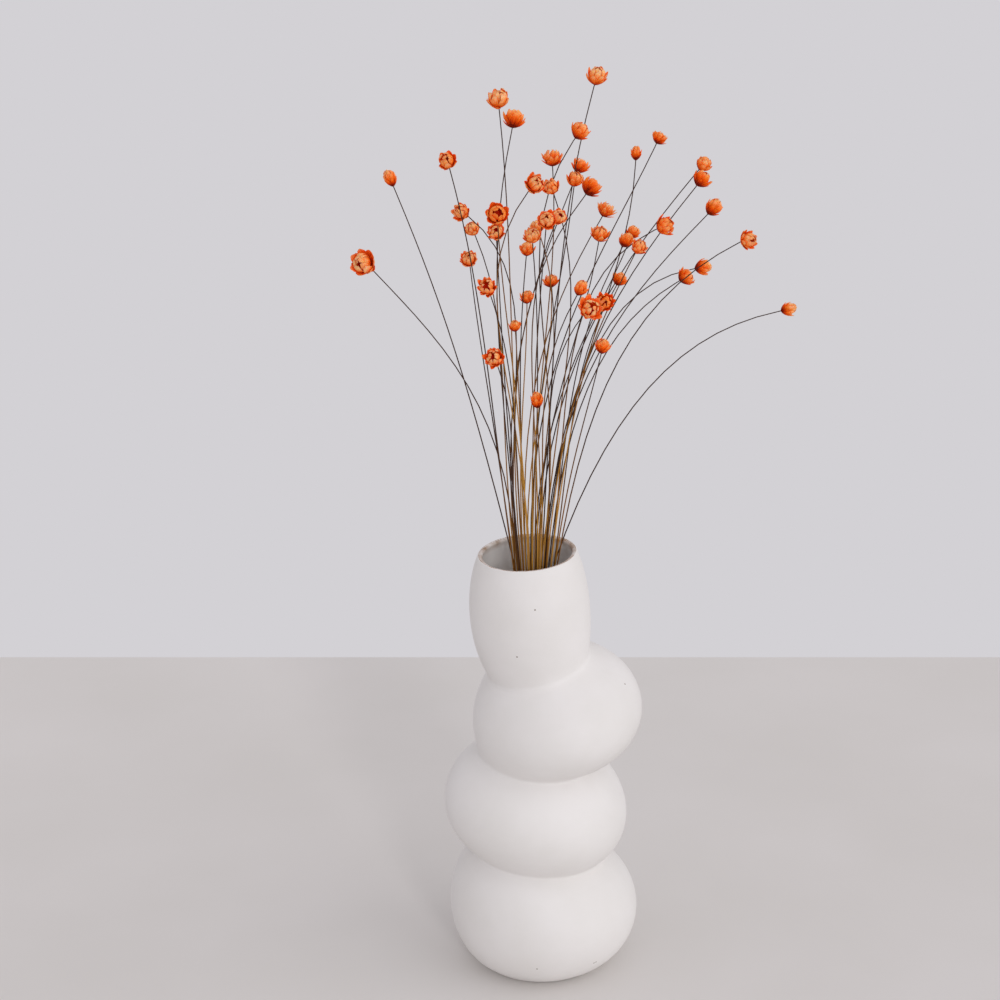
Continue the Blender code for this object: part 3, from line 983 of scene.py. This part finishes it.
# %% Lay out the stems in the mouth
STEM_ROWS = 5
STEMS_A_ROW = 10
MOUTH_MIDDLE = Vector((-3.5, 0.0, 245.0)) * MM
MOUTH_STEP = 2.5 * MM
MOUTH_ROW_STEP = 3.4 * MM
MOUTH_ROW_SHIFTS = (0.0, 1.0 * MM, -0.5 * MM, 0.5 * MM, -1.0 * MM)
MOUTH_STRAY = 0.45 * MM
FOCUS_BELOW_MOUTH = 92.0 * MM
FOOT_SPREAD = 2.0
CROWN_HEIGHT = 3.0 * MM
CROWN_RADIUS = 2.1 * MM
CROWN_ROW_STEP = 0.85 * MM
BOW_SHARE = 2.0
SEAT_GAP = 0.3 * MM
NECK = 2.5 * MM
NECK_FACING_SHARE = 0.2


def lean_out(bloom):
    """How far a bloom's stem leans out of the mouth to the right."""
    away = head_base(bloom) - MOUTH_MIDDLE
    return (away.x + BOW_SHARE * bloom.bow * MM) / away.z


def mouth_spot(number, column, row):
    """A stem's place in the mouth, from the mouth's middle. Each row is shifted sideways, and
    each stem strays from its place in the row by less than the gap to its neighbour."""
    stray = MOUTH_STRAY * math.sin(GOLDEN_ANGLE * number)
    across = column.x + MOUTH_ROW_SHIFTS[row] + stray
    return Vector((across, (row - (STEM_ROWS - 1) / 2) * MOUTH_ROW_STEP, 0))


places = []
by_depth = sorted(range(len(BLOOMS)), key=lambda n: BLOOMS[n].depth)
for row in range(STEM_ROWS):
    members = by_depth[row * STEMS_A_ROW : (row + 1) * STEMS_A_ROW]
    members.sort(key=lambda n: lean_out(BLOOMS[n]))
    places += [(n, place, row) for place, n in enumerate(members)]
print(len(places), "stems in", STEM_ROWS, "rows")

# %% Draw one stem
STEM_AT_VASE = 0.36 * MM
STEM_AT_HEAD = 0.27 * MM
CURVE_STEPS = 14
FOOT_PULL = 0.4
MOUTH_PULL_DOWN = 0.3
MOUTH_PULL_UP = 0.48
NECK_PULL = 0.30


def crown_foot(column):
    return Vector((column.x * FOOT_SPREAD, 0, WALL + SEAT_GAP))


def draw_stem(name, bloom, column, spot):
    """A stem from its crown through its place in the mouth to a short neck under its head."""
    axis = head_axis(bloom)
    top = head_base(bloom) + axis * SEAT_GAP
    neck = top - axis * NECK
    along = head_axis(bloom._replace(facing=bloom.facing * NECK_FACING_SHARE))
    mouth = MOUTH_MIDDLE + spot
    foot = crown_foot(column)
    foot += Vector((0, spot.y / MOUTH_ROW_STEP * CROWN_ROW_STEP, CROWN_HEIGHT / 2))
    lean = spot / FOCUS_BELOW_MOUTH + Vector((0, 0, 1))
    below, reach = (mouth - foot).length, (neck - mouth).length
    bend = mouth + lean * reach * MOUTH_PULL_UP + Vector((bloom.bow * MM, 0, 0))
    knots = (
        (foot, foot, foot + Vector((0, 0, below * FOOT_PULL)), STEM_AT_VASE),
        (mouth, mouth - lean * below * MOUTH_PULL_DOWN, bend, STEM_AT_VASE),
        (neck, neck - along * reach * NECK_PULL, neck + axis * NECK / 3, STEM_AT_HEAD),
        (top, top - axis * NECK / 3, top, STEM_AT_HEAD),
    )
    bpy.ops.object.select_all(action="DESELECT")
    bpy.ops.curve.primitive_bezier_curve_add()
    stem = bpy.context.object
    stem.name = name
    bends = stem.data
    bends.resolution_u = CURVE_STEPS
    bends.bevel_depth = 1.0
    bends.bevel_resolution = 2
    bends.use_fill_caps = True
    spline = bends.splines[0]
    spline.bezier_points.add(len(knots) - len(spline.bezier_points))
    for point, (place, before, after, radius) in zip(spline.bezier_points, knots):
        point.handle_left_type = "FREE"
        point.handle_right_type = "FREE"
        point.co = place
        point.handle_left = before
        point.handle_right = after
        point.radius = radius
    bpy.ops.object.convert(target="MESH")
    stem = bpy.context.object
    bpy.ops.object.mode_set(mode="EDIT")
    bpy.ops.mesh.select_all(action="SELECT")
    bpy.ops.mesh.remove_doubles(threshold=0.01 * MM)
    bpy.ops.mesh.normals_make_consistent(inside=False)
    bpy.ops.object.mode_set(mode="OBJECT")
    return stem


trial = draw_stem("trial", BLOOMS[0], Vector((0, 0, 0)), Vector((0, 0, 0)))
print("a stem is", round(trial.dimensions.z / MM), "mm tall with", len(trial.data.polygons), "faces")
bpy.data.objects.remove(trial)

# %% [markdown]
# # Dried stalk
#
# A dried glixia stalk is straw: golden where it stayed covered, in the middle of the bundle and
# near the vase, and weathered to a dark umber higher up and on the outermost stalks. Fine fibres
# run along it, and its skin is faintly waxy.

# %% Make the dried stalk
stalk, tree, shader = new_material("dried flower stalk")
place = put(tree, "TexCoord").outputs["Object"]
height = put(tree, "SeparateXYZ", inputs={"Vector": place})
tone = put(tree, "Attribute", {"attribute_name": "tone"})
shift = put(
    tree,
    "Math",
    {"operation": "MULTIPLY_ADD"},
    {0: tone.outputs["Fac"], 1: 0.35, 2: height.outputs["Z"]},
)
share = put(
    tree,
    "MapRange",
    inputs={"Value": shift.outputs[0], "From Min": 0.37, "From Max": 0.52},
)
skin = put(
    tree,
    "ValToRGB",
    inputs={"Fac": share.outputs["Result"]},
    stops=((0.0, "#DAA048"), (0.45, "#9A6424"), (1.0, "#4A3226")),
)
fibre_at = put(tree, "Mapping", inputs={"Vector": place, "Scale": (4000.0, 4000.0, 150.0)})
fibre = put(tree, "TexNoise", inputs={"Vector": fibre_at.outputs["Vector"], "Scale": 1.0})
streak = put(
    tree,
    "Mix",
    {"data_type": "RGBA", "blend_type": "MULTIPLY"},
    {"Factor": 0.5, 6: skin.outputs["Color"], 7: fibre.outputs["Fac"]},
)
tree.links.new(streak.outputs[2], shader.inputs["Base Color"])
shader.inputs["Roughness"].default_value = 0.6
shader.inputs["Specular IOR Level"].default_value = 0.1
print(stalk.name, "has", len(tree.nodes), "nodes")

# %% Gather the stems into bunches
def shape_crown(foot):
    """The small crown that the stems of a bunch grow from."""
    crown = new_shape(
        "crown",
        bpy.ops.mesh.primitive_cone_add,
        vertices=12,
        radius1=CROWN_RADIUS * 0.8,
        radius2=CROWN_RADIUS,
        depth=CROWN_HEIGHT,
        location=foot + Vector((0, 0, CROWN_HEIGHT / 2)),
    )
    bpy.ops.mesh.bevel(offset=0.4 * MM, segments=2, affect="EDGES")
    return done(crown)


def weathering(number):
    """0 for a stalk that stayed golden and 1 for a dark one, as the outermost ones are."""
    outward = abs(lean_out(BLOOMS[number]))
    return min(0.65 * random.Random(number).random() + 0.9 * outward, 1)


def build_bunch(place, members):
    column = Vector(((place - (STEMS_A_ROW - 1) / 2) * MOUTH_STEP, 0, 0))
    crown = shape_crown(crown_foot(column))
    set_values(crown, tone=0.0)
    stems = []
    for number, row in members:
        spot = mouth_spot(number, column, row)
        stem = draw_stem(f"stem_{number}", BLOOMS[number], column, spot)
        set_values(stem, tone=weathering(number))
        stems.append(stem)
    bpy.ops.object.select_all(action="DESELECT")
    for piece in (crown, *stems):
        piece.select_set(True)
    bpy.context.view_layer.objects.active = crown
    bpy.ops.object.join()
    crown.name = f"bunch_{place + 1:02d}"
    crown.data.name = crown.name
    crown.data.materials.append(stalk)
    bpy.ops.object.shade_smooth_by_angle(angle=math.radians(50))
    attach(crown, "root")
    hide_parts(f"stems_{place + 1:02d}")
    return crown


bunches = []
for place in range(STEMS_A_ROW):
    members = [(number, row) for number, along_row, row in places if along_row == place]
    bunches.append(build_bunch(place, members))
print(len(bunches), "bunches")
